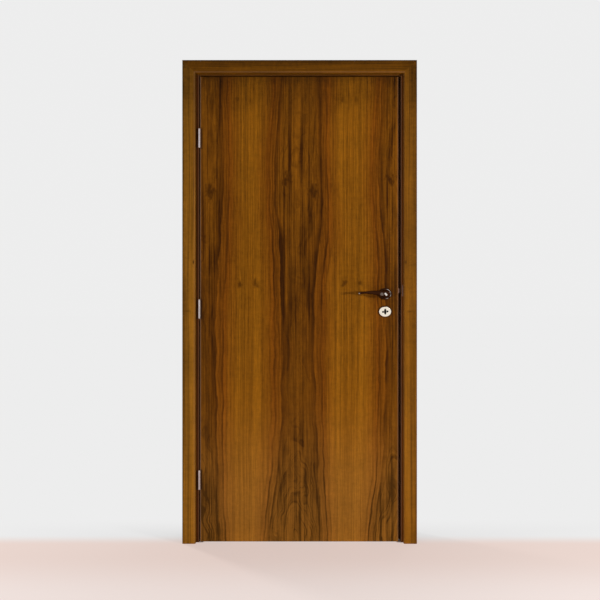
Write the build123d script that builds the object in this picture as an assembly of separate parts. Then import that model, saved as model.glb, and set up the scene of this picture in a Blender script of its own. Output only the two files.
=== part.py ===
from build123d import *
import math
import os

# Interior door set in millimetres: a flush veneered leaf hung in a wooden lining with architraves.
# X runs from the hinge jamb's wall face towards the lock side, Z up from the floor,
# and Y from the front, where the hinges show, to the back, with 0 at half the lining's depth.

# Leaf
LEAF_WIDTH = 852.0
LEAF_HEIGHT = 2000.0
LEAF_THICKNESS = 40.0
PANEL_THICKNESS = 4.0
LIPPING_THICKNESS = 8.0
ARRIS_ROUND = 2.5

# Gaps round the leaf
HINGE_GAP = 5.0
LOCK_GAP = 12.0
HEAD_GAP = 5.0
FLOOR_GAP = 3.0
STOP_GAP = 5.0

# Lining, stops and architraves
JAMB_THICKNESS = 28.0
JAMB_DEPTH = 120.0
HEAD_REBATE = 10.0
LINING_ROUND = 2.0
STOP_THICKNESS = 20.0
STOP_WIDTH = 35.0
STOP_ROUND = 2.5
ARCHITRAVE_WIDTH = 57.0
ARCHITRAVE_THICKNESS = 18.0
ARCHITRAVE_ROUND = 6.0
HINGE_SIDE_REVEAL = 12.5
LOCK_SIDE_REVEAL = 9.0
HEAD_REVEAL = 4.0

# Butt hinges
HINGE_LENGTH = 78.0
HINGE_INSET = 267.0
HINGE_OFFSET = 8.0
HINGE_PLATE_WIDTH = 30.0
HINGE_PLATE_THICKNESS = 2.0
HINGE_PLATE_CORNER = 8.0
KNUCKLE_RADIUS = 5.5
KNUCKLE_GAP = 0.5
PIN_RADIUS = 3.0
PIN_CLEARANCE = 0.25
PIN_HEAD_RADIUS = 5.0
PIN_HEAD_HEIGHT = 3.5

# Lock: forend, bolts and strike plate
HANDLE_HEIGHT = 1068.0
BACKSET = 57.0
KEY_DROP = 76.0
FOREND_WIDTH = 20.0
FOREND_THICKNESS = 3.0
FOREND_MARGIN = 50.0
FOREND_CORNER = 3.0
LATCH_RISE = 14.0
LATCH_HEIGHT = 20.0
LATCH_THICKNESS = 12.0
LATCH_LENGTH = 38.0
LATCH_NOSE = 6.0
LATCH_BEVEL = 9.0
LATCH_CLEARANCE = 0.5
DEAD_BOLT_HEIGHT = 24.0
DEAD_BOLT_THICKNESS = 10.0
STRIKE_WIDTH = 26.0
STRIKE_THICKNESS = 2.0
STRIKE_LIP_HEIGHT = 48.0
STRIKE_LIP_RETURN = 5.0
STRIKE_HOLE_MARGIN = 2.0
STRIKE_POCKET_DEPTH = 15.0

# Oval plates on the faces of the leaf: the lever's rose and the key's escutcheon
OVAL_WIDTH = 53.0
OVAL_HEIGHT = 45.0
OVAL_ROUND = 4.0
ROSE_THICKNESS = 9.0
ESCUTCHEON_THICKNESS = 7.0
KEYHOLE_WIDTH = 10.5
KEYHOLE_HEIGHT = 25.0

# Lever, with depths measured outwards from the face of the leaf
NECK_RADIUS = 10.0
NECK_CLEARANCE = 0.4
NECK_START = 1.5
HUB_START = 34.0
HUB_END = 60.0
HUB_RADIUS = 17.0
HUB_BACK_ROUND = 5.0
HUB_FRONT_ROUND = 12.0
LEVER_DEPTH = 47.0
LEVER_LENGTH = 119.0
LEVER_RISE = 5.4
LEVER_ROOT_HEIGHT = 26.0
LEVER_ROOT_DEPTH = 22.0
LEVER_ROOT_BLEND = 6.0
LEVER_TIP_ROUND = 4.0
SPINDLE_SIZE = 8.0
SPINDLE_REACH = 24.0
SPINDLE_HOLE_RADIUS = 9.0

# Places that follow from the sizes above
FRONT = -JAMB_DEPTH / 2
BACK = JAMB_DEPTH / 2
LEAF_BACK = FRONT + LEAF_THICKNESS
LEAF_MIDDLE = FRONT + LEAF_THICKNESS / 2
LEAF_LEFT = JAMB_THICKNESS + HINGE_GAP
LEAF_RIGHT = LEAF_LEFT + LEAF_WIDTH
LEAF_BOTTOM = FLOOR_GAP
LEAF_TOP = LEAF_BOTTOM + LEAF_HEIGHT
LOCK_JAMB_FACE = LEAF_RIGHT + LOCK_GAP
LOCK_JAMB_WALL = LOCK_JAMB_FACE + JAMB_THICKNESS
HEAD_FACE = LEAF_TOP + HEAD_GAP
HEAD_WALL = HEAD_FACE + JAMB_THICKNESS
STOP_FRONT = LEAF_BACK + STOP_GAP
STOP_BACK = STOP_FRONT + STOP_WIDTH
HINGE_X = JAMB_THICKNESS + HINGE_GAP / 2
HINGE_Y = FRONT - HINGE_OFFSET
SPINDLE_X = LEAF_RIGHT - BACKSET
LATCH_LEVEL = HANDLE_HEIGHT + LATCH_RISE
KEY_HEIGHT = HANDLE_HEIGHT - KEY_DROP
FOREND_BOTTOM = KEY_HEIGHT - FOREND_MARGIN
FOREND_TOP = HANDLE_HEIGHT + FOREND_MARGIN
HINGE_HEIGHTS = {
    "top": LEAF_TOP - HINGE_INSET,
    "middle": (LEAF_TOP + LEAF_BOTTOM) / 2,
    "bottom": LEAF_BOTTOM + HINGE_INSET,
}


def block(x, y, z):
    """A square-edged block from its (low, high) pair on each axis."""
    size = [high - low for low, high in (x, y, z)]
    middle = [(low + high) / 2 for low, high in (x, y, z)]
    return Pos(*middle) * Box(*size)


def upright(outline, y_from, y_to):
    """An outline drawn in X and Z, made solid from one Y to a greater one."""
    plane = Plane(origin=(0, y_from, 0), x_dir=(1, 0, 0), z_dir=(0, -1, 0))
    return extrude(plane * outline, amount=y_to - y_from, dir=(0, 1, 0))


def to_back(shape):
    """The same piece on the other face of the leaf."""
    return mirror(shape, about=Plane.XZ.offset(-LEAF_MIDDLE))


def span(middle, length):
    return (middle - length / 2, middle + length / 2)


# Hinges: two knuckles belong to the frame plate and the one between them to the door plate


def knuckle_spans(middle):
    """(low, high) of each knuckle from the bottom up, with a small gap between neighbours."""
    third = (HINGE_LENGTH - 2 * KNUCKLE_GAP) / 3
    starts = [middle - HINGE_LENGTH / 2 + i * (third + KNUCKLE_GAP) for i in range(3)]
    return [(start, start + third) for start in starts]


def hinge_plate_box(side, middle):
    """The flat part of a hinge plate, sunk flush into the jamb (side -1) or the leaf edge (side 1)."""
    face = HINGE_X + side * HINGE_GAP / 2
    x = sorted((face, face + side * HINGE_PLATE_THICKNESS))
    plate = block(x, (FRONT, FRONT + HINGE_PLATE_WIDTH), span(middle, HINGE_LENGTH))
    inner_corners = plate.edges().filter_by(Axis.X).group_by(Axis.Y)[-1]
    return fillet(inner_corners, HINGE_PLATE_CORNER)


def hinge_plate(side, middle):
    spans = knuckle_spans(middle)
    own = spans[0::2] if side < 0 else spans[1:2]
    face = HINGE_X + side * HINGE_GAP / 2
    x = sorted((face, face + side * HINGE_PLATE_THICKNESS))
    plate = hinge_plate_box(side, middle)
    for low, high in own:
        barrel = Pos(HINGE_X, HINGE_Y, (low + high) / 2) * Cylinder(KNUCKLE_RADIUS, high - low)
        plate += barrel + block(x, (HINGE_Y, FRONT), (low, high))
    return plate - Pos(HINGE_X, HINGE_Y, middle) * Cylinder(PIN_RADIUS + PIN_CLEARANCE, HINGE_LENGTH)


def hinge_pin(middle):
    """A pin with a domed button on each end."""
    end = HINGE_LENGTH / 2
    tip = end + PIN_HEAD_HEIGHT
    dome_radius = (PIN_HEAD_HEIGHT**2 + PIN_HEAD_RADIUS**2) / (2 * PIN_HEAD_HEIGHT)
    half_angle = math.asin(PIN_HEAD_RADIUS / dome_radius) / 2
    dome_x = dome_radius * math.sin(half_angle)
    dome_z = tip - dome_radius * (1 - math.cos(half_angle))
    outline = [
        ThreePointArc((0, -tip), (dome_x, -dome_z), (PIN_HEAD_RADIUS, -end)),
        Polyline((PIN_HEAD_RADIUS, -end), (PIN_RADIUS, -end), (PIN_RADIUS, end), (PIN_HEAD_RADIUS, end)),
        ThreePointArc((PIN_HEAD_RADIUS, end), (dome_x, dome_z), (0, tip)),
        Line((0, tip), (0, -tip)),
    ]
    return Pos(HINGE_X, HINGE_Y, middle) * revolve(Plane.XZ * make_face(Curve() + outline), axis=Axis.Z)


# Lock pieces


def forend_blank():
    plate = block(
        (LEAF_RIGHT - FOREND_THICKNESS, LEAF_RIGHT),
        span(LEAF_MIDDLE, FOREND_WIDTH),
        (FOREND_BOTTOM, FOREND_TOP),
    )
    return fillet(plate.edges().filter_by(Axis.X), FOREND_CORNER)


def bolt_block(height, thickness, middle, x, margin=0.0):
    return block(x, span(LEAF_MIDDLE, thickness + 2 * margin), span(middle, height + 2 * margin))


def latch_way():
    """The mortice that the latch bolt slides in, with room behind it for its travel."""
    x = (LEAF_RIGHT - LATCH_LENGTH - 2 * LATCH_NOSE, LEAF_RIGHT)
    return bolt_block(LATCH_HEIGHT, LATCH_THICKNESS, LATCH_LEVEL, x, LATCH_CLEARANCE)


def dead_bolt():
    """The locking bolt drawn back, with its end flush in the forend."""
    x = (LEAF_RIGHT - LATCH_LENGTH, LEAF_RIGHT)
    return bolt_block(DEAD_BOLT_HEIGHT, DEAD_BOLT_THICKNESS, KEY_HEIGHT, x)


def latch_bolt():
    """A bolt with its nose bevelled on the side that meets the strike when the leaf closes."""
    nose = LEAF_RIGHT + LATCH_NOSE
    back = LEAF_MIDDLE + LATCH_THICKNESS / 2
    bolt = bolt_block(LATCH_HEIGHT, LATCH_THICKNESS, LATCH_LEVEL, (LEAF_RIGHT - LATCH_LENGTH, nose))
    corner = Polyline(
        (nose, back), (nose - LATCH_NOSE, back), (nose, back - LATCH_BEVEL), close=True
    )
    low = LATCH_LEVEL - LATCH_HEIGHT / 2
    return bolt - extrude(Plane.XY.offset(low) * make_face(corner), amount=LATCH_HEIGHT)


def strike_blank():
    """The strike plate without its holes: a flat plate with a lip folded round the jamb's front edge."""
    inner = LOCK_JAMB_FACE + STRIKE_THICKNESS
    plate = block(
        (LOCK_JAMB_FACE, inner), span(LEAF_MIDDLE, STRIKE_WIDTH), (FOREND_BOTTOM, FOREND_TOP)
    )
    plate = fillet(plate.edges().filter_by(Axis.X), FOREND_CORNER)
    bend = 2 * STRIKE_THICKNESS
    lip_z = span(LATCH_LEVEL, STRIKE_LIP_HEIGHT)
    lip = block((LOCK_JAMB_FACE, LOCK_JAMB_FACE + bend + STRIKE_LIP_RETURN), (FRONT, LEAF_MIDDLE), lip_z)
    lip -= block((inner, LOCK_JAMB_WALL), (FRONT + STRIKE_THICKNESS, LEAF_MIDDLE), lip_z)
    outer_corner = lip.edges().filter_by(Axis.Z).group_by(Axis.Y)[0].sort_by(Axis.X)[0]
    return plate + fillet(outer_corner, bend)


def strike_hole(height, thickness, middle, depth):
    x = (LOCK_JAMB_FACE, LOCK_JAMB_FACE + depth)
    return bolt_block(height, thickness, middle, x, STRIKE_HOLE_MARGIN)


def strike_holes(depth):
    latch = strike_hole(LATCH_HEIGHT, LATCH_THICKNESS, LATCH_LEVEL, depth)
    return latch + strike_hole(DEAD_BOLT_HEIGHT, DEAD_BOLT_THICKNESS, KEY_HEIGHT, depth)


# Keyhole and handle furniture on the front face


def keyhole(y_from, y_to):
    """An upright oval, cut through from one Y to another."""
    oval = Pos(SPINDLE_X, KEY_HEIGHT) * Ellipse(KEYHOLE_WIDTH / 2, KEYHOLE_HEIGHT / 2)
    return upright(oval, y_from, y_to)


def spindle_hole():
    hole = Pos(SPINDLE_X, HANDLE_HEIGHT) * Circle(SPINDLE_HOLE_RADIUS)
    return upright(hole, FRONT, LEAF_BACK)


def oval_plate(middle, thickness):
    """An oval plate lying on the front face, with its outer rim rounded."""
    oval = Pos(SPINDLE_X, middle) * Ellipse(OVAL_WIDTH / 2, OVAL_HEIGHT / 2)
    plate = upright(oval, FRONT - thickness, FRONT)
    return fillet(plate.faces().sort_by(Axis.Y)[0].edges(), OVAL_ROUND)


def escutcheon():
    return oval_plate(KEY_HEIGHT, ESCUTCHEON_THICKNESS) - keyhole(FRONT - ESCUTCHEON_THICKNESS, FRONT)


def rose():
    bore = Pos(SPINDLE_X, HANDLE_HEIGHT) * Circle(NECK_RADIUS + NECK_CLEARANCE)
    return oval_plate(HANDLE_HEIGHT, ROSE_THICKNESS) - upright(bore, FRONT - ROSE_THICKNESS, FRONT)


def turned(profile):
    """A profile of (radius, depth from the leaf) turned round the spindle on the front face."""
    plane = Plane(origin=(SPINDLE_X, FRONT, HANDLE_HEIGHT), x_dir=(1, 0, 0), z_dir=(0, 0, 1))
    axis = Axis((SPINDLE_X, FRONT, HANDLE_HEIGHT), (0, 1, 0))
    return revolve(plane * mirror(profile, about=Plane.XZ), axis=axis)


def hub():
    """The lever's round root: a neck through the rose and a rounded boss on its end."""
    outline = Polyline(
        (0, NECK_START),
        (NECK_RADIUS, NECK_START),
        (NECK_RADIUS, HUB_START),
        (HUB_RADIUS, HUB_START),
        (HUB_RADIUS, HUB_END),
        (0, HUB_END),
        close=True,
    )
    profile = make_face(outline)
    corners = profile.vertices().group_by(Axis.X)[-1].sort_by(Axis.Y)
    profile = fillet(corners[0], HUB_BACK_ROUND)
    front_corner = profile.vertices().sort_by(lambda v: v.X + v.Y)[-1]
    return turned(fillet(front_corner, HUB_FRONT_ROUND))


def lever_blade():
    """The grip, lofted through ellipses: a deep root, a rising back that thins, and a swelling at the tip."""
    stations = [
        # shares of the length, the rise, the root's height and the root's depth
        (0.00, 0.00, 1.00, 1.00),
        (0.22, 0.41, 0.85, 0.86),
        (0.40, 0.81, 0.68, 0.73),
        (0.60, 1.00, 0.48, 0.58),
        (0.80, 0.93, 0.36, 0.47),
        (0.93, 0.59, 0.38, 0.49),
        (1.00, 0.44, 0.38, 0.49),
    ]
    rings = []
    for length, rise, height, depth in stations:
        centre = (
            SPINDLE_X - length * LEVER_LENGTH,
            FRONT - LEVER_DEPTH,
            HANDLE_HEIGHT + rise * LEVER_RISE,
        )
        plane = Plane(origin=centre, x_dir=(0, 1, 0), z_dir=(-1, 0, 0))
        rings.append(plane * Ellipse(depth * LEVER_ROOT_DEPTH / 2, height * LEVER_ROOT_HEIGHT / 2))
    blade = loft(rings)
    tip = blade.faces().sort_by(Axis.X)[0]
    return fillet(tip.edges(), LEVER_TIP_ROUND)


def spindle_bar():
    reach = (FRONT - SPINDLE_REACH, LEAF_BACK + SPINDLE_REACH)
    return block(span(SPINDLE_X, SPINDLE_SIZE), reach, span(HANDLE_HEIGHT, SPINDLE_SIZE))


def lever():
    """Hub and grip in one, blended where they meet, with a square socket for the spindle."""
    casting = hub() + lever_blade()
    root_x = (SPINDLE_X - HUB_RADIUS, SPINDLE_X - HUB_RADIUS / 2)
    boxes = [(edge, edge.bounding_box()) for edge in casting.edges()]
    root = [edge for edge, box in boxes if root_x[0] < box.min.X and box.max.X < root_x[1]]
    return fillet(root, LEVER_ROOT_BLEND) - spindle_bar()


# Frame: lining, stops and architraves


def jamb(wall_x, face_x):
    """A side of the lining, eased along its face and rebated at the top for the end of the head."""
    board = block(sorted((wall_x, face_x)), (FRONT, BACK), (0, HEAD_WALL))
    toward_wall = math.copysign(HEAD_REBATE, wall_x - face_x)
    rebate = block(sorted((face_x, face_x + toward_wall)), (FRONT, BACK), (HEAD_FACE, HEAD_WALL))
    face = board.faces().sort_by(Axis.X)[-1 if face_x > wall_x else 0]
    return fillet(face.edges().filter_by(Axis.Z), LINING_ROUND) - rebate


def head_jamb():
    x = (JAMB_THICKNESS - HEAD_REBATE, LOCK_JAMB_FACE + HEAD_REBATE)
    board = block(x, (FRONT, BACK), (HEAD_FACE, HEAD_WALL))
    return fillet(board.faces().sort_by(Axis.Z)[0].edges().filter_by(Axis.X), LINING_ROUND)


def side_stop(face_x, inward):
    x = sorted((face_x, face_x + inward * STOP_THICKNESS))
    stop = block(x, (STOP_FRONT, STOP_BACK), (0, HEAD_FACE - STOP_THICKNESS))
    shown = stop.faces().sort_by(Axis.X)[-1 if inward > 0 else 0]
    return fillet(shown.edges().filter_by(Axis.Z), STOP_ROUND)


def head_stop():
    x = (JAMB_THICKNESS, LOCK_JAMB_FACE)
    stop = block(x, (STOP_FRONT, STOP_BACK), (HEAD_FACE - STOP_THICKNESS, HEAD_FACE))
    return fillet(stop.faces().sort_by(Axis.Z)[0].edges().filter_by(Axis.X), STOP_ROUND)


def architraves(on_front):
    """Left, right and head boards of one side of the wall, mitred together at the corners."""
    left = JAMB_THICKNESS - HINGE_SIDE_REVEAL
    right = LOCK_JAMB_FACE + LOCK_SIDE_REVEAL
    under = HEAD_FACE + HEAD_REVEAL
    left_out = left - ARCHITRAVE_WIDTH
    right_out = right + ARCHITRAVE_WIDTH
    over = under + ARCHITRAVE_WIDTH
    outlines = {
        "left": ([(left_out, 0), (left, 0), (left, under), (left_out, over)], Axis.Z),
        "right": ([(right_out, 0), (right, 0), (right, under), (right_out, over)], Axis.Z),
        "head": ([(left, under), (right, under), (right_out, over), (left_out, over)], Axis.X),
    }
    y = (FRONT - ARCHITRAVE_THICKNESS, FRONT) if on_front else (BACK, BACK + ARCHITRAVE_THICKNESS)
    boards = {}
    for name, (corners, along) in outlines.items():
        board = upright(make_face(Polyline(*corners, close=True)), *y)
        shown = board.faces().sort_by(Axis.Y)[0 if on_front else -1]
        boards[name] = fillet(shown.edges().filter_by(along), ARCHITRAVE_ROUND)
    return boards


# Leaf


def face_panel():
    """The veneered front face, with its outer edges eased."""
    panel = block((LEAF_LEFT, LEAF_RIGHT), (FRONT, FRONT + PANEL_THICKNESS), (LEAF_BOTTOM, LEAF_TOP))
    edges = panel.faces().sort_by(Axis.Y)[0].edges()
    return fillet(edges, ARRIS_ROUND) - keyhole(FRONT, LEAF_BACK) - spindle_hole()


def lipping(x):
    y = (FRONT + PANEL_THICKNESS, LEAF_BACK - PANEL_THICKNESS)
    return block(x, y, (LEAF_BOTTOM, LEAF_TOP))


pieces = {}

pieces["hinge_jamb"] = jamb(0, JAMB_THICKNESS)
pieces["lock_jamb"] = jamb(LOCK_JAMB_WALL, LOCK_JAMB_FACE)
pieces["lock_jamb"] -= strike_blank() + strike_holes(STRIKE_POCKET_DEPTH)
pieces["head_jamb"] = head_jamb()
pieces["hinge_stop"] = side_stop(JAMB_THICKNESS, 1)
pieces["lock_stop"] = side_stop(LOCK_JAMB_FACE, -1)
pieces["head_stop"] = head_stop()
for side in ("front", "back"):
    for place, board in architraves(side == "front").items():
        pieces[f"{side}_architrave_{place}"] = board
pieces["strike_plate"] = strike_blank() - strike_holes(STRIKE_THICKNESS)

core_x = (LEAF_LEFT + LIPPING_THICKNESS, LEAF_RIGHT - LIPPING_THICKNESS)
bolts = latch_way() + dead_bolt()
pieces["leaf_core"] = lipping(core_x) - bolts - keyhole(FRONT, LEAF_BACK) - spindle_hole()
pieces["front_face_panel"] = face_panel()
pieces["back_face_panel"] = to_back(face_panel())
pieces["hinge_edge_lipping"] = lipping((LEAF_LEFT, core_x[0]))
pieces["lock_edge_lipping"] = lipping((core_x[1], LEAF_RIGHT)) - forend_blank() - bolts
pieces["lock_forend"] = forend_blank() - bolts
pieces["dead_bolt"] = dead_bolt()
pieces["latch_bolt"] = latch_bolt()

for place, height in HINGE_HEIGHTS.items():
    pieces["hinge_jamb"] -= hinge_plate_box(-1, height)
    pieces["hinge_edge_lipping"] -= hinge_plate_box(1, height)
    pieces["front_face_panel"] -= hinge_plate_box(1, height)
    pieces[f"hinge_frame_plate_{place}"] = hinge_plate(-1, height)
    pieces[f"hinge_door_plate_{place}"] = hinge_plate(1, height)
    pieces[f"hinge_pin_{place}"] = hinge_pin(height)

for name, piece in (("lever_rose", rose()), ("key_escutcheon", escutcheon()), ("lever", lever())):
    pieces[f"front_{name}"] = piece
    pieces[f"back_{name}"] = to_back(piece)
pieces["spindle"] = spindle_bar()

os.makedirs("parts", exist_ok=True)
for name, piece in pieces.items():
    export_step(piece, f"parts/{name}.step")
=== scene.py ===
import math
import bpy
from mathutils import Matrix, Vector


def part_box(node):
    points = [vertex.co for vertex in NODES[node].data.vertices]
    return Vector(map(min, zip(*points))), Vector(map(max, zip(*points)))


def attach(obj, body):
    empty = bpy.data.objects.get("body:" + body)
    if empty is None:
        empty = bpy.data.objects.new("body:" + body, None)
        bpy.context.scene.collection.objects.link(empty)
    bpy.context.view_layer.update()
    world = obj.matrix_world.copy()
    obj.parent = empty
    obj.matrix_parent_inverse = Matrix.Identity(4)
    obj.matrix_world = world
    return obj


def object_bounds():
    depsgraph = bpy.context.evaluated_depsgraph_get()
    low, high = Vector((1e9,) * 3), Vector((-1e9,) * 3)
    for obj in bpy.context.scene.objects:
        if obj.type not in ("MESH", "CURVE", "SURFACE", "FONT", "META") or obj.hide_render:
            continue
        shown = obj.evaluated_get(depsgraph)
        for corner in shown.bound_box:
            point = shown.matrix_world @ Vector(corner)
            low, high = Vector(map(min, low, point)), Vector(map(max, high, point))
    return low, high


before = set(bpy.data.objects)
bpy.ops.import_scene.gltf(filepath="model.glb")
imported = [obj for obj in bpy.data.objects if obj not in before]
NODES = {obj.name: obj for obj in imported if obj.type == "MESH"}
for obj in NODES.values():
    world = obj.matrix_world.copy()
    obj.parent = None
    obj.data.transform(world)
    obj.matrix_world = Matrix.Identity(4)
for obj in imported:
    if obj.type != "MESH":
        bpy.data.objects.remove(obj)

from types import SimpleNamespace

import bmesh
import bpy
from mathutils import Matrix, Vector

CAD_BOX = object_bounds()
CENTRE = (CAD_BOX[0] + CAD_BOX[1]) / 2
HINGE_LEVELS = ("top", "middle", "bottom")

# Edges in the frame's coordinates, on which wear, dirt and shade are placed
JAMB_FACES = (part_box("hinge_jamb")[1].x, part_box("lock_jamb")[0].x)
HEAD_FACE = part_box("head_jamb")[0].z
LEFT_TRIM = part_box("front_architrave_left")
RIGHT_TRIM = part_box("front_architrave_right")
HEAD_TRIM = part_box("front_architrave_head")


def srgb(red, green, blue):
    """A colour written in the 0 to 255 values of a screen, as the linear RGBA that shaders take."""
    def linear(value):
        value /= 255.0
        return value / 12.92 if value <= 0.04045 else ((value + 0.055) / 1.055) ** 2.4
    return (linear(red), linear(green), linear(blue), 1.0)


# Node graphs, written as arithmetic


def feed(tree, entry, value):
    """Links a field or a socket to a node's entry, or sets the entry to a plain value."""
    if isinstance(value, Field):
        value = value.socket
    if isinstance(value, bpy.types.NodeSocket):
        tree.links.new(value, entry)
    else:
        entry.default_value = value


class Field:
    """A number that varies over a surface: a node output on which arithmetic adds math nodes."""

    def __init__(self, tree, socket):
        self.tree = tree
        self.socket = socket

    def math(self, operation, *others):
        node = self.tree.nodes.new("ShaderNodeMath")
        node.operation = operation
        for entry, value in zip(node.inputs, (self,) + others):
            feed(self.tree, entry, value)
        return Field(self.tree, node.outputs[0])

    def __add__(self, other):
        return self.math("ADD", other)

    def __sub__(self, other):
        return self.math("SUBTRACT", other)

    def __mul__(self, other):
        return self.math("MULTIPLY", other)

    def __truediv__(self, other):
        return self.math("DIVIDE", other)

    def __abs__(self):
        return self.math("ABSOLUTE")

    def inverse(self):
        """One less this number."""
        return self.math("MULTIPLY_ADD", -1.0, 1.0)

    def centred(self):
        """Noise around 0.5, moved to lie around 0."""
        return self - 0.5

    def above(self, limit):
        """1 above the limit and 0 below it."""
        return self.math("GREATER_THAN", limit)

    def at_least(self, other):
        """The larger of the two numbers."""
        return self.math("MAXIMUM", other)

    def smooth(self, low, high):
        """0 below low, 1 above high and a smooth rise between; low may be the larger."""
        node = self.tree.nodes.new("ShaderNodeMapRange")
        node.interpolation_type = "SMOOTHSTEP"
        rising = low < high
        feed(self.tree, node.inputs["Value"], self)
        feed(self.tree, node.inputs["From Min"], min(low, high))
        feed(self.tree, node.inputs["From Max"], max(low, high))
        feed(self.tree, node.inputs["To Min"], 0.0 if rising else 1.0)
        feed(self.tree, node.inputs["To Max"], 1.0 if rising else 0.0)
        return Field(self.tree, node.outputs["Result"])

    def spot(self, centre, reach):
        """1 at centre, falling to 0 at reach from it on both sides."""
        return abs(self - centre).smooth(reach, 0.0)

    def growth_line(self, place, before, after):
        """A slow rise over before up to place, then a fast fall over after."""
        return self.smooth(place - before, place) * self.smooth(place + after, place)


def distance(first, *others):
    """The length of the vector whose components are these fields."""
    total = first * first
    for field in others:
        total = total + field * field
    return total.math("SQRT")


class Surface:
    """A procedural material under construction, in the frame's own coordinates in metres."""

    def __init__(self, name):
        self.material = bpy.data.materials.new(name)
        self.material.use_nodes = True
        self.tree = self.material.node_tree
        self.tree.nodes.clear()
        place = self.tree.nodes.new("ShaderNodeTexCoord")
        parts = self.tree.nodes.new("ShaderNodeSeparateXYZ")
        feed(self.tree, parts.inputs[0], place.outputs["Object"])
        self.x, self.y, self.z = (Field(self.tree, out) for out in parts.outputs)

    def noise(self, x, y, z=0.0, detail=2.0, roughness=0.5, distortion=0.0):
        """Smooth noise around 0.5, read at the point (x, y, z): a factor on a coordinate is features per metre."""
        point = self.tree.nodes.new("ShaderNodeCombineXYZ")
        for entry, value in zip(point.inputs, (x, y, z)):
            feed(self.tree, entry, value)
        node = self.tree.nodes.new("ShaderNodeTexNoise")
        feed(self.tree, node.inputs["Vector"], point.outputs[0])
        feed(self.tree, node.inputs["Scale"], 1.0)
        feed(self.tree, node.inputs["Detail"], detail)
        feed(self.tree, node.inputs["Roughness"], roughness)
        feed(self.tree, node.inputs["Distortion"], distortion)
        return Field(self.tree, node.outputs["Fac"])

    def even_noise(self, scale, *settings):
        """Noise with the same features per metre in all directions."""
        return self.noise(self.x * scale, self.y * scale, self.z * scale, *settings)

    def curve(self, field, points):
        """A smooth curve through (input, output) points, both from 0 to 1."""
        node = self.tree.nodes.new("ShaderNodeFloatCurve")
        line = node.mapping.curves[0]
        line.points[0].location = points[0]
        line.points[1].location = points[-1]
        for point in points[1:-1]:
            line.points.new(*point)
        node.mapping.update()
        feed(self.tree, node.inputs["Value"], field)
        return Field(self.tree, node.outputs[0])

    def ramp(self, field, stops):
        """Colours spread along a number from 0 to 1."""
        node = self.tree.nodes.new("ShaderNodeValToRGB")
        node.color_ramp.interpolation = "EASE"
        while len(node.color_ramp.elements) < len(stops):
            node.color_ramp.elements.new(0.5)
        for element, (position, colour) in zip(node.color_ramp.elements, stops):
            element.position = position
            element.color = colour
        feed(self.tree, node.inputs["Fac"], field)
        return node.outputs["Color"]

    def blend(self, amount, first, second):
        """The first colour where amount is 0, the second where it is 1."""
        node = self.tree.nodes.new("ShaderNodeMix")
        node.data_type = "RGBA"
        for entry, value in ((node.inputs["Factor"], amount), (node.inputs[6], first), (node.inputs[7], second)):
            feed(self.tree, entry, value)
        return node.outputs[2]

    def shade(self, colour, field):
        """The colour made lighter or darker by a factor near 1."""
        node = self.tree.nodes.new("ShaderNodeVectorMath")
        node.operation = "SCALE"
        feed(self.tree, node.inputs[0], colour)
        feed(self.tree, node.inputs["Scale"], field)
        return node.outputs[0]

    def finish(self, colour, roughness, height, bump, relief, **constants):
        """Closes the material; height is bumped by relief metres at the strength bump."""
        shader = self.tree.nodes.new("ShaderNodeBsdfPrincipled")
        bumps = self.tree.nodes.new("ShaderNodeBump")
        feed(self.tree, bumps.inputs["Height"], height)
        feed(self.tree, bumps.inputs["Strength"], bump)
        feed(self.tree, bumps.inputs["Distance"], relief)
        feed(self.tree, shader.inputs["Base Color"], colour)
        feed(self.tree, shader.inputs["Roughness"], roughness)
        feed(self.tree, shader.inputs["Normal"], bumps.outputs[0])
        for entry, value in constants.items():
            feed(self.tree, shader.inputs[entry.replace("_", " ")], value)
        return self.close(shader)

    def close(self, shader):
        """Makes the shader the material's surface."""
        out = self.tree.nodes.new("ShaderNodeOutputMaterial")
        feed(self.tree, out.inputs["Surface"], shader.outputs[0])
        return self.material


# Wood

# Painted highlights for rounded arrises, on the trims and linings and on the leaf
ARRIS_HIGHLIGHT_WOOD = srgb(140, 102, 74)
RIM_HIGHLIGHT_VENEER = srgb(134, 100, 74)
# Painted shade for the trims' edges, then the knots' own dark wood
SHADED_EDGE_WOOD = srgb(48, 26, 5)
KNOT_WOOD = srgb(52, 27, 5)
# Painted shadows round the plates and beside the hinges
PLATE_SHADOW = srgb(30, 16, 4)
HINGE_SHADOW = srgb(34, 17, 5)

PORES_ACROSS = 1500.0
PORES_ALONG = 34.0
WOOD_BUMP = 0.25
WOOD_RELIEF = 0.0004
VARNISH_SPECULAR = 0.05


def wood_pores(s, across, along):
    """Short open pores along the grain: 1 in a pore and 0 between them."""
    return s.noise(across * PORES_ACROSS, along * PORES_ALONG, s.y * PORES_ACROSS, 1.0).smooth(0.60, 0.74)


def varnished_wood(s, colour, streaks, pores):
    """Closes a wood material: a thin dull varnish over raised streaks and open pores."""
    roughness = pores * 0.15 + streaks * 0.10 + 0.34
    height = streaks * 0.4 - pores
    return s.finish(colour, roughness, height, WOOD_BUMP, WOOD_RELIEF, Specular_IOR_Level=VARNISH_SPECULAR)


# The leaf's veneer: slices side by side, each cut from a cone of growth rings, so that a dark heart lies between growth
# lines that close in at mid height. Lengths are in metres, and heights are shares of the leaf's height.
SLICE_WIDTH = 0.449
HEART_SHIFT = -0.005
TOP_LEAN = 0.012
LEFT_LEAN = 0.024
FOOT_LEAN = 0.011
BULGE = -0.15
OUTER_LINE = 0.138
INNER_LINE = 0.116
TANGLE_START = 0.080
LINE_FALL = 0.0045

# The height and the cone's depth there, as a share of OUTER_LINE
HEART_DEPTH = ((0.0, 0.05), (0.09, 0.39), (0.20, 0.63), (0.45, 0.67), (0.63, 0.645), (0.77, 0.44), (0.90, 0.51),
               (1.0, 0.61))
# The height and the heart's darkness there
HEART_DARKNESS = ((0.0, 0.17), (0.14, 0.20), (0.28, 0.36), (0.46, 0.32), (0.66, 0.22), (0.80, 0.20), (1.0, 0.10))
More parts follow.
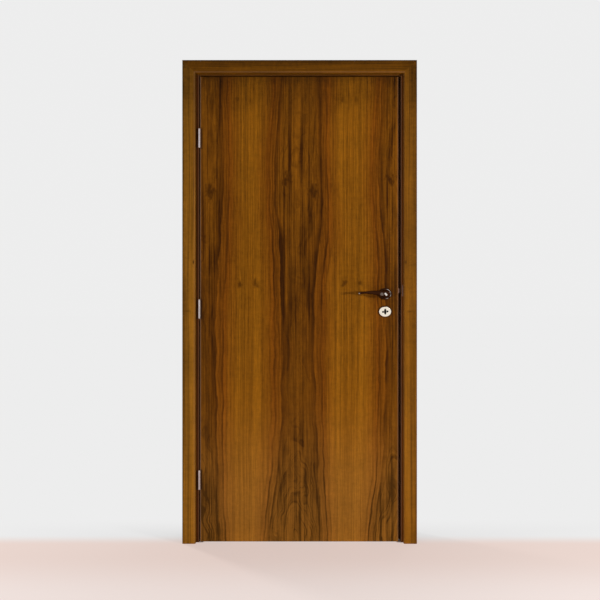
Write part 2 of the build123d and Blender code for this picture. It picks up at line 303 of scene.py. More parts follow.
# The height and the strength of the lines within the heart there
LINE_STRENGTH = ((0.0, 0.42), (0.16, 0.66), (0.28, 0.30), (0.52, 0.34), (0.70, 0.90), (1.0, 0.95))
# Radius, length of the slow rise before it, strength
GROWTH_LINES = ((OUTER_LINE, 0.010, 0.72), (INNER_LINE, 0.018, 0.90), (0.127, 0.008, 0.40), (0.153, 0.008, 0.36),
                (0.100, 0.013, 0.56), (0.085, 0.012, 0.58), (0.066, 0.012, 0.54))
# Distance from the slice's heart, height in metres, size, strength
VENEER_KNOTS = ((-0.046, 1.560, 0.030, 0.95), (0.066, 1.508, 0.034, 0.92), (0.150, 1.525, 0.030, 0.40),
                (-0.186, 1.113, 0.015, 0.74), (0.196, 1.113, 0.015, 0.78), (0.178, 1.905, 0.010, 0.60),
                (-0.214, 1.899, 0.013, 0.44))
KNOT_LENGTH = 1.4
# The ring's radius from RADIUS_START over RADIUS_SPAN, as 0 to 1, and the pale wood's colour there
RADIUS_START = 0.09
RADIUS_SPAN = 0.14
GROUND = ((0.0, srgb(128, 76, 11)), (0.22, srgb(124, 70, 9)), (0.38, srgb(122, 67, 8)),
          (0.50, srgb(128, 75, 10)), (0.78, srgb(137, 84, 12)), (1.0, srgb(135, 82, 11)))
# Paler wood towards the foot: painted light
FOOT_GROUND = srgb(146, 97, 38)
DARK_WOOD = srgb(55, 26, 1)
FOOT_DARK_WOOD = srgb(66, 39, 6)

# Painted shadow rings on the leaf round these plates
SHADOWED_PLATES = ("front_key_escutcheon", "front_lever_rose")
PLATE_SHADOW_STRENGTH = 0.75
# Painted shadows on the leaf beside the hinge knuckles
HINGE_SHADOW_HALF_HEIGHT = 0.041
HINGE_SHADOW_WIDTH = 0.0070
HINGE_SHADOW_STRENGTH = 0.7
# Painted highlights along the leaf's upright arrises: how far in they are full and where they end, and how strong on
# the hinge and the lock side
RIM_HIGHLIGHT_BAND = (0.0020, 0.0044)
RIM_HIGHLIGHT_STRENGTHS = (0.85, 0.45)


def veneer_growth(s, low, high):
    """How the rings run through the slices.

    level is the height, out the distance from the slice's heart with its leans and straight_out the same without
    them, radius the ring's, and inside and core are 1 within the outer and the inner growth line.
    """
    level = (s.z - low.z) / (high.z - low.z)
    drift = s.noise(s.x * 4.0, s.z * 1.6, 3.0).centred() * 0.024
    wobble = s.noise(s.x * 30.0, s.z * 7.0, 8.0, 3.0, 0.6).centred() * 0.014
    grain = s.x + drift + wobble - level.smooth(0.78, 1.0) * TOP_LEAN
    sheet = (grain - ((low.x + high.x) / 2 + HEART_SHIFT)) / SLICE_WIDTH
    left = sheet.math("LESS_THAN", -0.5)
    straight_out = (sheet - sheet.math("ROUND")) * SLICE_WIDTH
    out = straight_out - left * level.smooth(0.0, 0.30) * LEFT_LEAN
    out = out + left.inverse() * level.smooth(0.24, 0.0) * FOOT_LEAN
    out = out * (out.above(0.0) * level.spot(0.66, 0.14) * BULGE + 1.0)
    depth = s.curve(level, HEART_DEPTH) * OUTER_LINE
    sway = s.noise(s.x * 7.0, s.z * 4.0, 11.0, 3.0).centred() * 0.030
    tangle = s.noise(s.x * 15.0, s.z * 8.0, 5.0, 1.0).centred() * 0.070
    radius = distance(out, depth) + sway
    radius = radius + tangle * radius.smooth(INNER_LINE, TANGLE_START)
    return SimpleNamespace(
        level=level, drift=drift, grain=grain, left=left, right=sheet.above(0.5), straight_out=straight_out, out=out,
        radius=radius, clarity=level.smooth(0.10, 0.50),
        inside=radius.smooth(OUTER_LINE + 0.004, OUTER_LINE - 0.012),
        core=radius.smooth(INNER_LINE + 0.002, INNER_LINE - 0.008))


def heart_darkness(s, growth, patches):
    """How dark the hearts are and the fine threads over the whole leaf, from 0 to 1."""
    level, out, core = growth.level, growth.out, growth.core
    broad = s.noise(growth.grain * 60.0, s.z * 2.6, 4.0)
    rings = s.noise(growth.radius * 150.0, s.z * 2.4, growth.grain * 10.0, 2.0, 0.6)
    threads = s.noise((s.x + growth.drift * 0.5) * 205.0, s.z * 0.8, s.y * 205.0, 1.0, 0.6)

    # The heart is even at a third of the height, streaky above and arched below
    even = level.spot(0.34, 0.24)
    streaky = broad.smooth(0.40, 0.66) * (patches * 0.42 + 0.20) * (even * -0.50 + 1.0)
    arches = level.smooth(0.30, 0.12) * 0.26 + 0.18
    dark = s.curve(level, HEART_DARKNESS) + streaky + rings.smooth(0.42, 0.70) * arches

    # Gold wood shows within it towards the top
    gold_strip = out.spot(-0.008, 0.024) * level.smooth(0.62, 0.74)
    pale_middle = out.spot(-0.035, 0.060) * level.spot(0.64, 0.15)
    pale_middle = pale_middle + out.spot(0.030, 0.032) * level.spot(0.77, 0.13) * 0.8
    dark = dark * (gold_strip * -0.75 + 1.0) * (pale_middle * -0.45 + 1.0)

    # The outer slices' hearts are darker near the foot
    left_dark = level.smooth(0.17, 0.03) * (broad * 0.44 + 0.01) + level.spot(0.50, 0.25) * 0.12
    left_dark = left_dark + level.spot(0.11, 0.07) * 0.34
    right_dark = level.spot(0.10, 0.09) * 0.26
    dark = dark + growth.left * left_dark + growth.right * right_dark

    border = rings.smooth(0.46, 0.70) * 0.30 + broad.smooth(0.46, 0.66) * 0.22 + 0.08
    fine = threads.smooth(0.42, 0.60) * (growth.clarity * 0.14 + 0.25) * (core * even * -0.60 + 1.0)
    return core * dark + core.inverse() * growth.inside * border + fine


def growth_lines(s, growth, dark, patches, broken):
    """The darkness with the growth lines drawn into it."""
    level = growth.level
    within = s.curve(level, LINE_STRENGTH)
    firmness = growth.out.above(0.0) * 0.22 - growth.left * 0.40 + 0.36
    around = level.spot(0.62, 0.18) * firmness + 1.0
    at_foot = level.smooth(0.24, 0.06) * 0.42 + 1.0
    for place, before, strength in GROWTH_LINES:
        line = growth.radius.growth_line(place, before, LINE_FALL) * (patches * 0.45 + 0.55) * broken
        line = line * (within if place < INNER_LINE else around)
        if place > INNER_LINE:
            line = line * at_foot
        dark = dark.at_least(line * strength)
    return dark


def veneer_knots(s, growth, dark, broken):
    """The darkness with the small ragged knots drawn into it."""
    ragged = s.noise(s.x * 75.0, s.z * 36.0, 2.0).centred() * 2.0
    for place, height, size, strength in VENEER_KNOTS:
        away = distance((growth.straight_out - place) / size, (s.z - height) / (size * KNOT_LENGTH))
        dark = dark.at_least((away + ragged).smooth(1.5, 0.0) * broken * strength)
    return dark


def veneer_tone(s, growth, streaks, fibres, pores, low, high):
    """How light the veneer is around 1, apart from its figure: fine grain, ripple, lighter and darker zones, and
    painted shade and light by height.
    """
    level = growth.level
    mottle = s.noise(s.x * 9.0, s.z * 16.0, 1.0)
    ripple = s.noise(s.x * 45.0, s.z * 70.0, 9.0, 3.0, 0.7)
    tone = streaks.centred() * 0.45 + fibres.centred() * (growth.clarity * 0.40 + 0.72)
    tone = tone + mottle.centred() * 0.26 + ripple.centred() * 0.48
    # Painted shade and light: darker at mid height and much darker near the top, where less light falls, and lighter at
    # the very foot
    tone = tone - pores * 0.14 - level.spot(0.56, 0.46) * 0.17 + 1.05
    tone = tone - level.smooth(0.885, 0.985) * 0.36 - level.smooth(0.975, 1.0) * 0.18
    tone = tone + level.smooth(0.04, 0.0) * 0.14
    # Place across, reach, height, reach up and down, gain
    zones = ((low.x, 0.045, 0.65, 0.19, 0.42),
             (low.x, 0.024, 0.64, 0.15, 0.24),
             (low.x + 0.042, 0.030, 0.90, 0.10, 0.16),
             (high.x - 0.008, 0.050, 0.83, 0.17, 0.24),
             (high.x - 0.008, 0.050, 0.52, 0.17, -0.16),
             (high.x - 0.008, 0.050, 0.34, 0.07, -0.16))
    for place, reach, height, rise, gain in zones:
        tone = tone + s.x.spot(place, reach) * level.spot(height, rise) * gain
    return tone - growth.out.spot(-0.120, 0.065) * level.spot(0.33, 0.14) * 0.15


def veneer_painted_light(s, colour, low, high):
    """Painted shadows round the plates and beside the hinges, and painted highlights along the two upright arrises."""
    # Painted shadow: a dark ring on the leaf round each plate
    for node in SHADOWED_PLATES:
        plate_low, plate_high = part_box(node)
        plate = (plate_low + plate_high) / 2
        half = (plate_high - plate_low) / 2
        shadow_ring = distance((s.x - plate.x) / half.x, (s.z - plate.z) / half.z).smooth(1.24, 1.02)
        colour = s.blend(shadow_ring * PLATE_SHADOW_STRENGTH, colour, PLATE_SHADOW)
    # Painted shadow of each hinge's knuckle on the leaf beside it
    for level_name in HINGE_LEVELS:
        hinge_low, hinge_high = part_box(f"hinge_door_plate_{level_name}")
        hinge_height = (hinge_low.z + hinge_high.z) / 2
        beside = abs(s.z - hinge_height).smooth(HINGE_SHADOW_HALF_HEIGHT + 0.005, HINGE_SHADOW_HALF_HEIGHT)
        near = (s.x - low.x).smooth(HINGE_SHADOW_WIDTH + 0.003, HINGE_SHADOW_WIDTH)
        colour = s.blend(beside * near * HINGE_SHADOW_STRENGTH, colour, HINGE_SHADOW)
    # Painted highlights along the leaf's rounded upright arrises
    full, none = RIM_HIGHLIGHT_BAND
    for inwards, strength in zip((s.x - low.x, s.x * -1.0 + high.x), RIM_HIGHLIGHT_STRENGTHS):
        colour = s.blend(inwards.smooth(none, full) * strength, colour, RIM_HIGHLIGHT_VENEER)
    return colour


def figured_veneer(name):
    """The leaf's walnut veneer."""
    low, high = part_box("front_face_panel")
    s = Surface(name)
    growth = veneer_growth(s, low, high)
    streaks = s.noise(s.x * 520.0, s.z * 6.0, s.y * 520.0, 3.0, 0.6)
    fibres = s.noise(s.x * 240.0, s.z * 13.0, s.y * 240.0, 3.0, 0.7)
    patches = s.noise(s.x * 12.0, s.z * 3.4, 6.0, 3.0).smooth(0.34, 0.62)
    pores = wood_pores(s, s.x, s.z)
    broken = fibres * 0.9 + 0.55

    dark = heart_darkness(s, growth, patches)
    dark = growth_lines(s, growth, dark, patches, broken)
    dark = veneer_knots(s, growth, dark, broken)
    ground = s.ramp((growth.radius - RADIUS_START) / RADIUS_SPAN, GROUND)
    # Painted light: the pale wood turns paler towards the foot
    ground = s.blend(growth.level.smooth(0.34, 0.04) * 0.50, ground, FOOT_GROUND)
    deep = s.blend(growth.level.smooth(0.32, 0.04), DARK_WOOD, FOOT_DARK_WOOD)
    colour = s.blend(dark, ground, deep)
    colour = s.shade(colour, veneer_tone(s, growth, streaks, fibres, pores, low, high))
    colour = veneer_painted_light(s, colour, low, high)
    return varnished_wood(s, colour, streaks, pores)


# Painted shade and painted highlights along the edges of straight wood: how far they reach in metres, and how strong
# they are
EDGE_SHADE_ZONE = 0.055
EDGE_SHADE_DEPTH = 0.30
EDGE_SHADE_LINE = 0.0070
EDGE_SHADE_LINE_STRENGTH = 0.55
INNER_SHADE_LINE = 0.0060
INNER_SHADE_STRENGTH = 0.45
ARRIS_HIGHLIGHT_LINE = 0.0045


def straight_wood(name, light, dark, run, seed, fade=0.20, top_shade=0.0, arris_highlights=(), shaded_edges=(), shaded_lines=(), shaded=(),
                  knots=()):
    """Straight-grained walnut along x or z, darker by fade up the frame, and by top_shade near its top, which is
    painted shade.

    Places across the grain, in the three arguments after top_shade: pale lines (place, strength) that are painted
    highlights on rounded arrises, edges darkened by painted shade over a wide zone, and lines of painted shade.
    Along it: shaded (place, reach, strength), and knots (place across, place along, width, length, strength).
    """
    s = Surface(name)
    along, across = (s.z, s.x) if run == "z" else (s.x, s.z)
    grain = across + s.noise(along * 1.6, seed, across * 4.0).centred() * 0.020
    bands = s.noise(grain * 95.0, along * 1.2, s.y * 95.0 + seed, 3.0, 0.55)
    lines = s.noise(grain * 260.0, along * 1.6, s.y * 260.0 + seed)
    streaks = s.noise(grain * 560.0, along * 7.0, s.y * 560.0)
    mottle = s.noise(grain * 8.0, along * 7.0, seed)
    ripple = s.noise(across * 45.0, along * 70.0, seed, 3.0, 0.7)
    pores = wood_pores(s, grain, along)

    colour = s.blend(bands.smooth(0.40, 0.70) * 0.46 + lines.smooth(0.46, 0.70) * 0.32, light, dark)
    tone = streaks.centred() * 0.55 + mottle.centred() * 0.50 + ripple.centred() * 0.44 - pores * 0.20 + 1.03
    tone = tone - s.z.smooth(0.3, 2.0) * fade - s.z.smooth(1.80, 2.02) * top_shade
    # Painted shade: the outer edges darken over a wide zone
    for place in shaded_edges:
        tone = tone - across.spot(place, EDGE_SHADE_ZONE) * EDGE_SHADE_DEPTH
    for place, reach, strength in shaded:
        tone = tone - along.spot(place, reach) * strength
    colour = s.shade(colour, tone)

    # Painted highlights along rounded arrises
    for place, strength in arris_highlights:
        colour = s.blend(across.spot(place, ARRIS_HIGHLIGHT_LINE) * strength, colour, ARRIS_HIGHLIGHT_WOOD)
    # Painted shade: a dark line on the outer edges and on the given inner edges
    for place in shaded_edges:
        colour = s.blend(across.spot(place, EDGE_SHADE_LINE) * EDGE_SHADE_LINE_STRENGTH, colour, SHADED_EDGE_WOOD)
    for place in shaded_lines:
        colour = s.blend(across.spot(place, INNER_SHADE_LINE) * INNER_SHADE_STRENGTH, colour, SHADED_EDGE_WOOD)
    for place, height, width, length, strength in knots:
        away = distance((across - place) / width, (along - height) / length)
        knot = (away + streaks.centred() * 1.2).smooth(1.3, 0.2)
        colour = s.blend(knot * strength, colour, KNOT_WOOD)
    return varnished_wood(s, colour, streaks, pores)


CHIP_COLOURS = ((0.30, srgb(112, 78, 44)), (0.50, srgb(158, 120, 76)), (0.70, srgb(186, 150, 104)))
CHIP_BUMP = 0.4
CHIP_RELIEF = 0.0006


def chipboard(name):
    """Pressed wood chips, as seen on the leaf's top and bottom edges."""
    s = Surface(name)
    chips = s.even_noise(260.0, 3.0, 0.6, 0.8)
    flakes = s.even_noise(900.0)
    colour = s.shade(s.ramp(chips, CHIP_COLOURS), flakes * 0.5 + 0.75)
    return s.finish(colour, flakes * 0.2 + 0.65, chips + flakes * 0.5, CHIP_BUMP, CHIP_RELIEF)


# Metal

# Features per metre along x, y and z, by the axis along which the metal is brushed
BRUSHING = {"x": (90.0, 2600.0, 2600.0), "z": (2600.0, 2600.0, 90.0), "none": (1500.0, 1500.0, 1500.0)}
METAL_BUMP = 0.06
METAL_RELIEF = 0.0001

LEVER_METAL = srgb(58, 31, 16)
LEVER_SMEAR = srgb(40, 20, 9)
# Painted highlights on the lever and its rose
LEVER_HIGHLIGHT = srgb(242, 234, 226)
ROSE_RIM_HIGHLIGHT_BAND = (0.84, 0.94)
ROSE_REACH = 0.030


def metal_smear(s):
    """Large faint smears."""
    return s.even_noise(45.0, 3.0)


def brushing(s, run):
    """Fine brushing along one axis."""
    by_x, by_y, by_z = BRUSHING[run]
    return s.noise(s.x * by_x, s.y * by_y, s.z * by_z)


def polished_metal(name, clean, dull, gloss, run):
    """Polished metal of the roughness gloss, with fine brushing along one axis, faint smears and small specks."""
    s = Surface(name)
    smear = metal_smear(s)
    brush = brushing(s, run)
    specks = s.even_noise(420.0, 1.0).smooth(0.70, 0.80)
    colour = s.blend(smear.smooth(0.40, 0.75) * 0.6 + specks * 0.4, clean, dull)
    roughness = smear * 0.10 + brush * 0.06 + specks * 0.10 + gloss
    return s.finish(colour, roughness, brush, METAL_BUMP, METAL_RELIEF, Metallic=1.0)


def lever_metal_with_highlights(name):
    """Dark polished metal with painted highlights on the hub's end, the lever's tip and the right side of its rose's
    rim, and a faint painted reflection beside the hub.
    """
    lever_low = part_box("front_lever")[0]
    rose_low, rose_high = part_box("front_lever_rose")
    leaf_low, leaf_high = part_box("leaf_core")
    rose = (rose_low + rose_high) / 2
    half = (rose_high - rose_low) / 2
    leaf_middle = (leaf_low.y + leaf_high.y) / 2
    hub_reach = leaf_middle - lever_low.y
    s = Surface(name)
    off_leaf = abs(s.y - leaf_middle)
    smear = metal_smear(s)
    brush = brushing(s, "x")
    patch = s.even_noise(75.0)

    # Painted highlights: patches on the right part of the rose's rim, and spots; the first two spots light the hub's
    # end, the third is a faint painted reflection and the last lights the lever's tip
    across = (s.x - rose.x) / half.x
    rim_highlight = distance(across, (s.z - rose.z) / half.z).smooth(*ROSE_RIM_HIGHLIGHT_BAND) * off_leaf.smooth(ROSE_REACH + 0.002, ROSE_REACH)
    highlights = rim_highlight * across.smooth(-0.10, 0.45) * patch.smooth(0.36, 0.62) * 0.85
    # Place across, reach off the leaf's middle, height, size, strength
    highlight_spots = ((rose.x - 0.0060, hub_reach, rose.z + 0.0005, 0.0050, 1.0),
             (rose.x - 0.0020, hub_reach, rose.z - 0.0040, 0.0052, 1.0),
             (rose.x - 0.0200, hub_reach - 0.006, rose.z - 0.0020, 0.0095, 0.16),
             (lever_low.x + 0.0020, hub_reach - 0.008, rose.z - 0.0005, 0.0058, 0.42))
    for x, reach, z, size, strength in highlight_spots:
        spot = distance(s.x - x, off_leaf - reach, s.z - z).smooth(size, size * 0.5)
        highlights = highlights.at_least(spot * strength)
    colour = s.blend(smear.smooth(0.40, 0.75) * 0.6, LEVER_METAL, LEVER_SMEAR)
    colour = s.blend(highlights, colour, LEVER_HIGHLIGHT)
    roughness = smear * 0.08 + brush * 0.05 + 0.06
    return s.finish(colour, roughness, brush, METAL_BUMP, METAL_RELIEF, Metallic=1.0)


# The CAD nodes' materials

leaf_veneer = figured_veneer("leaf_walnut_veneer")
# Pale arris lines on the trims and linings are painted highlights, and their darkened edges painted shade
left_trim = straight_wood(
    "architrave_walnut_left", srgb(150, 98, 25), srgb(70, 41, 6), "z", 4.0, top_shade=0.26,
    arris_highlights=((LEFT_TRIM[1].x - 0.005, 0.2),), shaded_edges=(LEFT_TRIM[0].x,), shaded_lines=(LEFT_TRIM[1].x,),
    shaded=((0.64, 0.50, 0.13), (1.50, 0.40, -0.06)),
    knots=((LEFT_TRIM[1].x - 0.009, 1.204, 0.004, 0.010, 0.85),
           (LEFT_TRIM[1].x - 0.034, 0.995, 0.016, 0.006, 0.40)))
right_trim = straight_wood(
    "architrave_walnut_right", srgb(143, 90, 20), srgb(88, 51, 7), "z", 4.0, fade=0.34, top_shade=0.20,
    arris_highlights=((RIGHT_TRIM[0].x, 0.2),), shaded_edges=(RIGHT_TRIM[1].x,),
    shaded=((0.62, 0.50, 0.11), (1.50, 0.36, -0.08)),
    knots=((RIGHT_TRIM[0].x + 0.007, 1.204, 0.006, 0.009, 0.70),
           (RIGHT_TRIM[0].x + 0.025, 0.993, 0.014, 0.006, 0.45)))
head_trim = straight_wood(
    "architrave_walnut_head", srgb(118, 71, 8), srgb(46, 25, 1), "x", 7.0,
    arris_highlights=((HEAD_TRIM[0].z + 0.005, 0.24),), shaded_edges=(HEAD_TRIM[1].z,))
# A darker copy of the lining walnut: painted shade on the hinge-side jamb and on both stops, in the gaps
shaded_upright_lining = straight_wood(
    "lining_walnut_upright_shaded", srgb(76, 38, 8), srgb(40, 20, 3), "z", 13.0, arris_highlights=((JAMB_FACES[0], 0.32),))
lock_lining = straight_wood(
    "lining_walnut_lock", srgb(110, 58, 10), srgb(66, 32, 4), "z", 15.0, arris_highlights=((JAMB_FACES[1], 0.55),))
head_lining = straight_wood(
    "lining_walnut_head", srgb(104, 60, 10), srgb(58, 32, 5), "x", 17.0, arris_highlights=((HEAD_FACE, 0.08),))
edge_wood = straight_wood("leaf_edge_walnut", srgb(122, 78, 28), srgb(66, 38, 10), "z", 21.0)
core_board = chipboard("leaf_core_chipboard")
hinge_metal = polished_metal("hinge_polished_steel", srgb(196, 184, 182), srgb(160, 148, 146), 0.16, "z")
pin_metal = polished_metal("hinge_pin_bright_steel", srgb(236, 226, 220), srgb(206, 196, 190), 0.12, "none")
lock_metal = polished_metal("lock_dull_steel", srgb(124, 92, 80), srgb(98, 72, 62), 0.30, "z")
screw_metal = polished_metal("screw_dull_steel", srgb(54, 49, 45), srgb(36, 32, 29), 0.28, "none")
# Painted shade in the screws' slots
slot_shade_metal = polished_metal("screw_slot_painted_shade", srgb(34, 30, 28), srgb(18, 16, 14), 0.45, "none")
# Near-black lever plates in the keyhole: painted shade inside it
keyhole_shade_metal = polished_metal("lock_lever_black_painted_shade", srgb(16, 13, 11), srgb(8, 6, 5), 0.50, "none")
lever_metal = lever_metal_with_highlights("lever_dark_metal_painted_highlights")
escutcheon_metal = polished_metal(
    "escutcheon_polished_nickel", srgb(252, 242, 224), srgb(240, 228, 208), 0.16, "none")


def paint(nodes, material):
    """Gives the nodes one material."""
    for node in nodes:
        for slot in NODES[node].material_slots:
            slot.material = material


paint(["front_face_panel", "back_face_panel"], leaf_veneer)
paint(["hinge_edge_lipping", "lock_edge_lipping"], edge_wood)
paint(["leaf_core"], core_board)
# Painted shade: the darker lining copy on the hinge side and both stops
paint(["hinge_jamb", "hinge_stop", "lock_stop"], shaded_upright_lining)
paint(["lock_jamb"], lock_lining)
paint(["head_jamb", "head_stop"], head_lining)
for side in ("front", "back"):
    paint([f"{side}_architrave_left"], left_trim)
    paint([f"{side}_architrave_right"], right_trim)
    paint([f"{side}_architrave_head"], head_trim)
    paint([f"{side}_lever", f"{side}_lever_rose"], lever_metal)
    paint([f"{side}_key_escutcheon"], escutcheon_metal)
for level in HINGE_LEVELS:
    paint([f"hinge_frame_plate_{level}", f"hinge_door_plate_{level}"], hinge_metal)
    paint([f"hinge_pin_{level}"], pin_metal)
paint(["strike_plate", "lock_forend", "latch_bolt", "dead_bolt", "spindle"], lock_metal)


# Pieces that only the scene has

# A screw head's half from its foot to its top: share of the radius, share of the rise
SCREW_PROFILE = ((1.0, 0.0), (1.0, 0.45), (0.93, 0.72), (0.80, 0.90), (0.55, 1.0))
SCREW_STEPS = 14
SLOT_SHARE = 0.20
SLOT_LENGTH = 0.98
SLOT_FLOOR = 0.10

# Screw heads, in metres: radius and rise, places and turns of their slots in degrees
HINGE_SCREW = (0.0038, 0.0005)
HINGE_SCREW_PLACES = ((0.011, -0.026), (0.020, 0.0), (0.011, 0.026))
HINGE_SCREW_TURNS = (20.0, 75.0, 130.0)
LOCK_SCREW = (0.0036, 0.0005)
LOCK_SCREW_INSET = 0.010
LOCK_SCREW_TURNS = (40.0, 110.0)
ESCUTCHEON_SCREW = (0.0042, 0.0012)
ESCUTCHEON_SCREW_PLACES = ((-0.0098, -0.001), (0.0096, 0.001))
ESCUTCHEON_SCREW_TURNS = (4.0, 6.0)

LEVER_PLATES = 6
LEVER_PLATE_HALF = (0.0051, 0.0122)
LEVER_PLATE_START = 0.1
LEVER_PLATE_SHARE = 0.7
LEVER_PLATE_STEPS = 24
LEVER_PLATE_ARC = 160.0
KEYWAY_HALF = 0.0008
KEYWAY_SHIFT = 1.5


def add_piece(name, mesh, materials, body):
    """Turns a bmesh into a piece that moves with a body and takes the given materials."""
    bmesh.ops.recalc_face_normals(mesh, faces=mesh.faces)
    data = bpy.data.meshes.new(name)
    mesh.to_mesh(data)
    mesh.free()
    for material in materials:
        data.materials.append(material)
    item = bpy.data.objects.new(name, data)
    bpy.context.scene.collection.objects.link(item)
    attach(item, body)


def slotted_screws(name, places, outward, turns, size, body, material):
    """Raised screw heads, each two domed halves either side of a slot, on a face that looks along outward."""
    radius, rise = size
    half_slot = radius * SLOT_SHARE
    outward = Vector(outward)
    along = Vector((0.0, 0.0, 1.0)).cross(outward)
    up = outward.cross(along)
    mesh = bmesh.new()
    for place, turn in zip(places, turns):
        spin = Matrix.Rotation(math.radians(turn), 3, outward)
        origin = Vector(place)

        def point(x, y, height):
            return mesh.verts.new(origin + spin @ (along * x + up * y) + outward * height)

        floors = []
        for sign in (1.0, -1.0):
            rings = []
            for share, height in SCREW_PROFILE:
                reach = radius * share
                start = math.asin(half_slot / reach)
                ring = []
                for step in range(SCREW_STEPS + 1):
                    angle = start + (math.pi - 2 * start) * step / SCREW_STEPS
                    ring.append(point(reach * math.cos(angle), sign * reach * math.sin(angle), rise * height))
                rings.append(ring)
            floors.append([point(x * radius * SLOT_LENGTH, sign * half_slot, rise * SLOT_FLOOR) for x in (1.0, -1.0)])
            for low, high in zip(rings, rings[1:]):
                for i in range(SCREW_STEPS):
                    mesh.faces.new((low[i], low[i + 1], high[i + 1], high[i]))
            mesh.faces.new(rings[-1])
            # The slot's walls and floor take the second material, painted shade
            wall = mesh.faces.new([ring[0] for ring in rings] + [ring[-1] for ring in reversed(rings)])
            wall.material_index = 1
        first, second = floors
        mesh.faces.new((first[0], first[1], second[1], second[0])).material_index = 1
    add_piece(name, mesh, (material, slot_shade_metal), body)


def lock_levers(name):
    """The lock's thin lever plates, near-black as painted shade, which fill the keyhole behind the escutcheon and stop
    the view through it.
    """
    low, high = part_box("front_key_escutcheon")
    core_low, core_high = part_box("leaf_core")
    middle = (low + high) / 2
    half_width, half_height = LEVER_PLATE_HALF
    pitch = (core_high.y - core_low.y) / LEVER_PLATES
    mesh = bmesh.new()
    for plate in range(LEVER_PLATES):
        front = core_low.y + pitch * (plate + LEVER_PLATE_START)
        back = front + pitch * LEVER_PLATE_SHARE
        shift = KEYWAY_HALF * (KEYWAY_SHIFT if plate % 2 else -KEYWAY_SHIFT)
        for sign in (1.0, -1.0):
            rows = []
            for depth in (front, back):
                row = []
                for step in range(LEVER_PLATE_STEPS + 1):
                    angle = math.radians(LEVER_PLATE_ARC * (step / LEVER_PLATE_STEPS - 0.5))
                    x = sign * half_width * math.cos(angle)
                    x = max(x, shift + KEYWAY_HALF) if sign > 0 else min(x, shift - KEYWAY_HALF)
                    z = half_height * math.sin(angle)
                    row.append(mesh.verts.new((middle.x + x, depth, middle.z + z)))
                rows.append(row)
            near, far = rows
            for i in range(LEVER_PLATE_STEPS):
                mesh.faces.new((near[i], near[i + 1], far[i + 1], far[i]))
            mesh.faces.new((near[-1], near[0], far[0], far[-1]))
            mesh.faces.new(near)
            mesh.faces.new(list(reversed(far)))
    add_piece(name, mesh, (keyhole_shade_metal,), "leaf")


for level in HINGE_LEVELS:
    for part, body, outward in (("frame", "frame", 1.0), ("door", "leaf", -1.0)):
        low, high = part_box(f"hinge_{part}_plate_{level}")
        face = JAMB_FACES[0] if part == "frame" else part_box("hinge_edge_lipping")[0].x
        middle = (low.z + high.z) / 2
        slotted_screws(
            f"hinge_{part}_screws_{level}",
            [(face, high.y - inset, middle + rise) for inset, rise in HINGE_SCREW_PLACES],
            (outward, 0.0, 0.0), HINGE_SCREW_TURNS, HINGE_SCREW, body, hinge_metal)

for node, body, outward in (("lock_forend", "leaf", 1.0), ("strike_plate", "frame", -1.0)):
    low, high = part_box(node)
    face = high.x if outward > 0 else low.x
    middle = (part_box("lock_forend")[0].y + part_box("lock_forend")[1].y) / 2
    slotted_screws(
        f"{node}_screws",
        [(face, middle, height) for height in (low.z + LOCK_SCREW_INSET, high.z - LOCK_SCREW_INSET)],
        (outward, 0.0, 0.0), LOCK_SCREW_TURNS, LOCK_SCREW, body, lock_metal)

for side, outward in (("front", -1.0), ("back", 1.0)):
    low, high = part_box(f"{side}_key_escutcheon")
    face = low.y if outward < 0 else high.y
    middle = (low + high) / 2
    slotted_screws(
        f"{side}_escutcheon_screws",
        [(middle.x + across, face, middle.z + up) for across, up in ESCUTCHEON_SCREW_PLACES],
        (0.0, outward, 0.0), ESCUTCHEON_SCREW_TURNS, ESCUTCHEON_SCREW, "leaf", screw_metal)

lock_levers("keyhole_lever_plates")


# Studio

BACKGROUND = 0.85
AMBIENT = 0.35
FLOOR_REACH = 40.0
FLOOR_WHITE = srgb(237, 237, 237)
FLOOR_NEAR = srgb(236, 216, 208)
FLOOR_FRONT = srgb(244, 230, 225)
FLOOR_GLOW = 0.65


def seen_directly(tree):
    """1 for a ray that the camera, a mirror or glass sends, 0 for the rays that light the object."""
    rays = tree.nodes.new("ShaderNodeLightPath")
    seen = Field(tree, rays.outputs["Is Camera Ray"])
    for kind in ("Is Glossy Ray", "Is Transmission Ray"):
        seen = seen.at_least(Field(tree, rays.outputs[kind]))
    return seen


def floor_material(name):
    """A pale floor, warm in front of the door, that keeps the shadow near it and glows softly farther out."""
    s = Surface(name)
    out_x = s.x - CENTRE.x
    away = distance(out_x, s.y - CAD_BOX[0].y)
    warm = s.blend(s.y.smooth(-0.20, -0.60), FLOOR_NEAR, FLOOR_FRONT)
    before_door = s.y.smooth(0.03, -0.09) * s.y.smooth(-2.60, -0.60) * abs(out_x).smooth(3.20, 1.20)
    tint = s.blend(before_door, FLOOR_WHITE, warm)

    glow = away.smooth(0.5, 2.0).at_least(s.y.smooth(-0.04, 0.25)) * (1.0 - FLOOR_GLOW) + FLOOR_GLOW
    # No glow at the feet of the two narrow gaps beside the leaf, where it would shine through
    gap_depth = s.y.smooth(-0.066, -0.056) * s.y.smooth(0.0, -0.012)
    for face, side in zip(JAMB_FACES, (1.0, -1.0)):
        from_jamb = (s.x - face) * side
        in_gap = from_jamb.smooth(-0.008, 0.0) * from_jamb.smooth(0.024, 0.014) * gap_depth
        glow = glow * in_gap.inverse()
    glow = glow * seen_directly(s.tree)

    matt = s.tree.nodes.new("ShaderNodeBsdfDiffuse")
    feed(s.tree, matt.inputs["Color"], tint)
    bright = s.tree.nodes.new("ShaderNodeEmission")
    feed(s.tree, bright.inputs["Color"], tint)
    mix = s.tree.nodes.new("ShaderNodeMixShader")
    for entry, value in zip(mix.inputs, (glow, matt.outputs[0], bright.outputs[0])):
        feed(s.tree, entry, value)
    return s.close(mix)


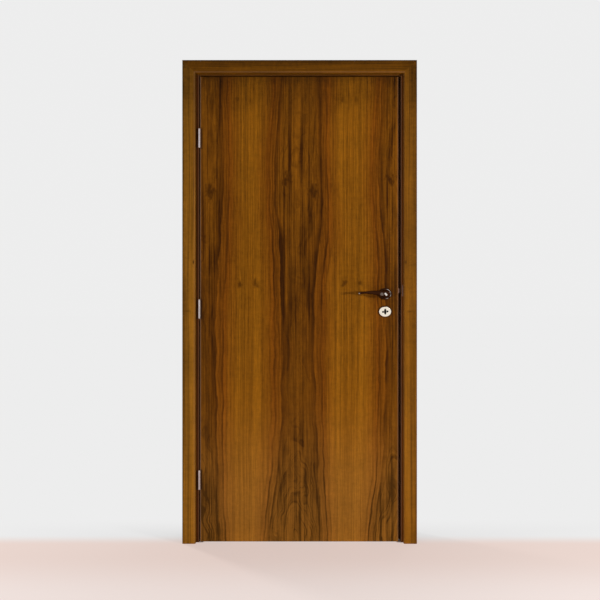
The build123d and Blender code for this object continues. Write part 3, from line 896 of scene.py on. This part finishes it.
def studio_floor():
    """The floor's sheet, which isn't part of the object."""
    mesh = bpy.data.meshes.new("studio_floor")
    corners = [(CENTRE.x + i * FLOOR_REACH, j * FLOOR_REACH, 0.0) for i, j in ((-1, -1), (1, -1), (1, 1), (-1, 1))]
    mesh.from_pydata(corners, [], [(0, 1, 2, 3)])
    mesh.materials.append(floor_material("studio_floor_pale"))
    floor = bpy.data.objects.new("studio_floor", mesh)
    bpy.context.scene.collection.objects.link(floor)


def studio_world():
    """Even white light all round, seen as a pale background."""
    world = bpy.data.worlds.new("studio_world")
    world.use_nodes = True
    tree = world.node_tree
    sky = tree.nodes["Background"]
    feed(tree, sky.inputs["Color"], (1.0, 1.0, 1.0, 1.0))
    feed(tree, sky.inputs["Strength"], seen_directly(tree) * (BACKGROUND - AMBIENT) + AMBIENT)
    bpy.context.scene.world = world


def lamp(name, offset, aim, size, power, side=1.0, mirrored=False):
    """A soft lamp that the camera doesn't see; side -1 puts it behind the door, and mirrored lets metal show it."""
    x, y, z = offset
    place = (CENTRE.x + x * side, y * side, z)
    light = bpy.data.lights.new(name, "AREA")
    light.shape = "RECTANGLE"
    light.size, light.size_y = size
    light.energy = power
    item = bpy.data.objects.new(name, light)
    item.location = place
    item.rotation_euler = (Vector(aim) - Vector(place)).to_track_quat("-Z", "Y").to_euler()
    item.visible_camera = False
    item.visible_glossy = mirrored
    bpy.context.scene.collection.objects.link(item)


# Each side of the door has a small key lamp on its right and a large fill lamp low on its left. A lamp's place is given
# from the door's middle, as seen from the front.
KEY_PLACE = (2.8, -2.0, 1.10)
KEY_AIM = (CENTRE.x, 0.0, 0.8)
KEY_SIZE = (0.5, 0.12)
KEY_POWER = 81.0
FILL_PLACE = (-2.1, -2.2, 0.25)
FILL_AIM = (CENTRE.x, 0.0, 0.5)
FILL_SIZE = (1.2, 1.2)
FILL_POWER = 32.0
SPARKLE_PLACE = (1.6, -2.8, 1.6)
SPARKLE_AIM = (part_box("front_lever")[1].x, 0.0, 1.07)
SPARKLE_SIZE = (0.25, 0.25)
SPARKLE_POWER = 4.0

studio_floor()
studio_world()
for key, fill, side in (("right_key", "left_fill", 1.0), ("back_key", "back_fill", -1.0)):
    lamp(key, KEY_PLACE, KEY_AIM, KEY_SIZE, KEY_POWER, side)
    lamp(fill, FILL_PLACE, FILL_AIM, FILL_SIZE, FILL_POWER, side)
lamp("sparkle", SPARKLE_PLACE, SPARKLE_AIM, SPARKLE_SIZE, SPARKLE_POWER, mirrored=True)

# The photograph's camera: square on, at this distance from the architraves and this scale on them
CAMERA_DISTANCE = 2.80
CAMERA_X = 0.4623
CAMERA_HEIGHT = 1.042
PIXELS_PER_METRE = 234.05
IMAGE = 600.0
SENSOR = 36.0

camera = bpy.data.cameras.new("photo_camera")
camera.sensor_fit = "HORIZONTAL"
camera.sensor_width = SENSOR
camera.lens = SENSOR * CAMERA_DISTANCE * PIXELS_PER_METRE / IMAGE
viewer = bpy.data.objects.new("photo_camera", camera)
viewer.location = (CAMERA_X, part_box("front_architrave_left")[0].y - CAMERA_DISTANCE, CAMERA_HEIGHT)
viewer.rotation_euler = (math.radians(90.0), 0.0, 0.0)
bpy.context.scene.collection.objects.link(viewer)
bpy.context.scene.camera = viewer
bpy.context.scene.view_settings.view_transform = "Standard"
